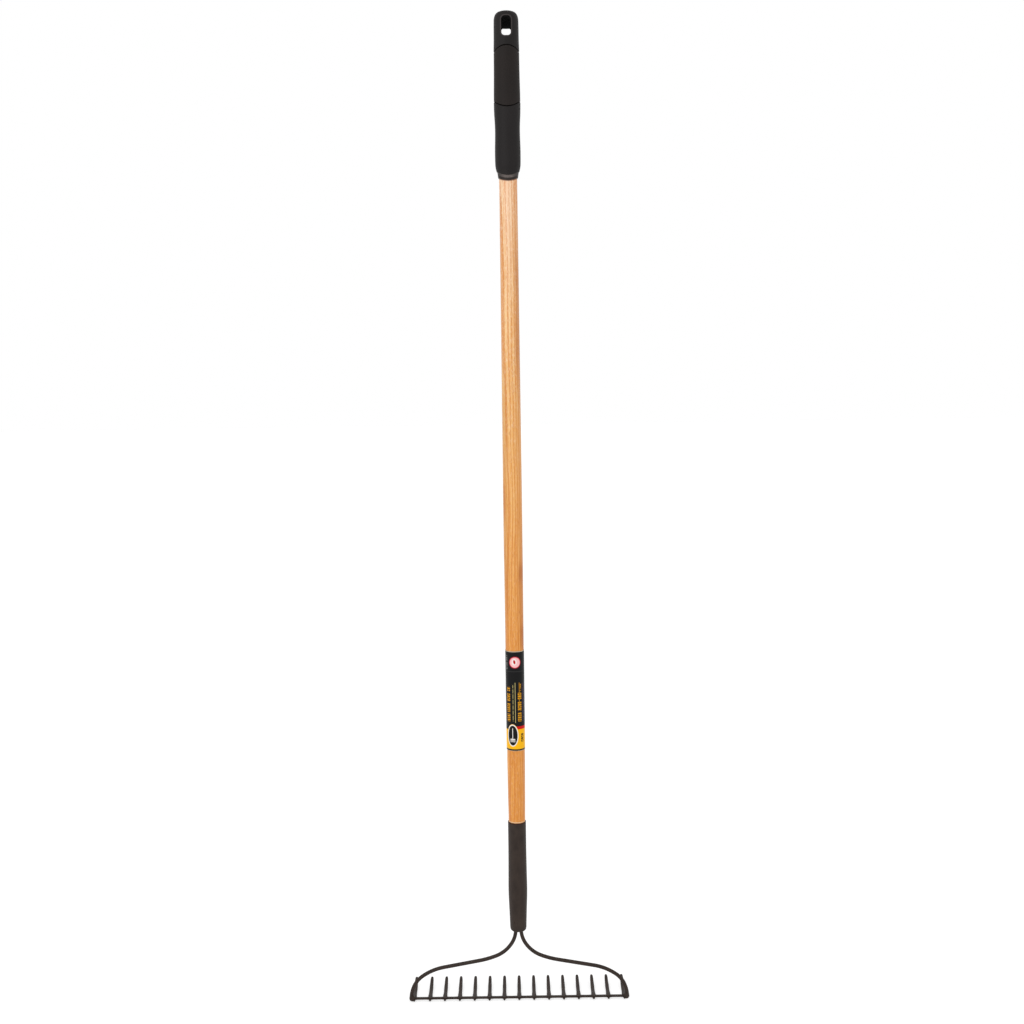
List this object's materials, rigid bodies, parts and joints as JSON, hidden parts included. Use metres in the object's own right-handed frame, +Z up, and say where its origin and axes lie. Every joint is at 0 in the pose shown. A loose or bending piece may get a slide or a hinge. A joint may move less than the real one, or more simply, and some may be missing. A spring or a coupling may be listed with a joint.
{
  "type": "bow rake",
  "caption": "Long-handled steel garden rake: a toothed bar on a two-rod bow, ferrule, ash shaft and soft end grip with a hanging slot.",
  "frame": {"origin": "centre of the hanging slot through the grip", "axes": "+Z up along the shaft towards the grip's end, +X along the head bar, +Y the way the tines point; the slot runs along Y"},
  "size_m": [0.3756, 0.0875, 1.6303],
  "materials": {
    "ash_wood": "clear lacquer over fine vertical grain",
    "dark_steel": "dark brown-grey satin coating",
    "grey_plastic": "fine matte",
    "black_rubber": "soft satin",
    "band_rubber": "finely pebbled",
    "printed_film": "printed in black, yellow and red under gloss film"
  },
  "bodies": {
    "root": {"handle_shaft": "ash_wood", "ferrule": "dark_steel", "ferrule_pin": "dark_steel", "bow_arm_left": "dark_steel", "bow_arm_right": "dark_steel", "head_bar": "dark_steel", "tine_01": "dark_steel", "tine_02": "dark_steel", "tine_03": "dark_steel", "tine_04": "dark_steel", "tine_05": "dark_steel", "tine_06": "dark_steel", "tine_07": "dark_steel", "tine_08": "dark_steel", "tine_09": "dark_steel", "tine_10": "dark_steel", "tine_11": "dark_steel", "tine_12": "dark_steel", "tine_13": "dark_steel", "tine_14": "dark_steel", "tine_15": "dark_steel", "grip_core": "grey_plastic", "grip_sleeve": "black_rubber", "grip_band": "band_rubber", "label": "printed_film"}
  },
  "joints": []
}
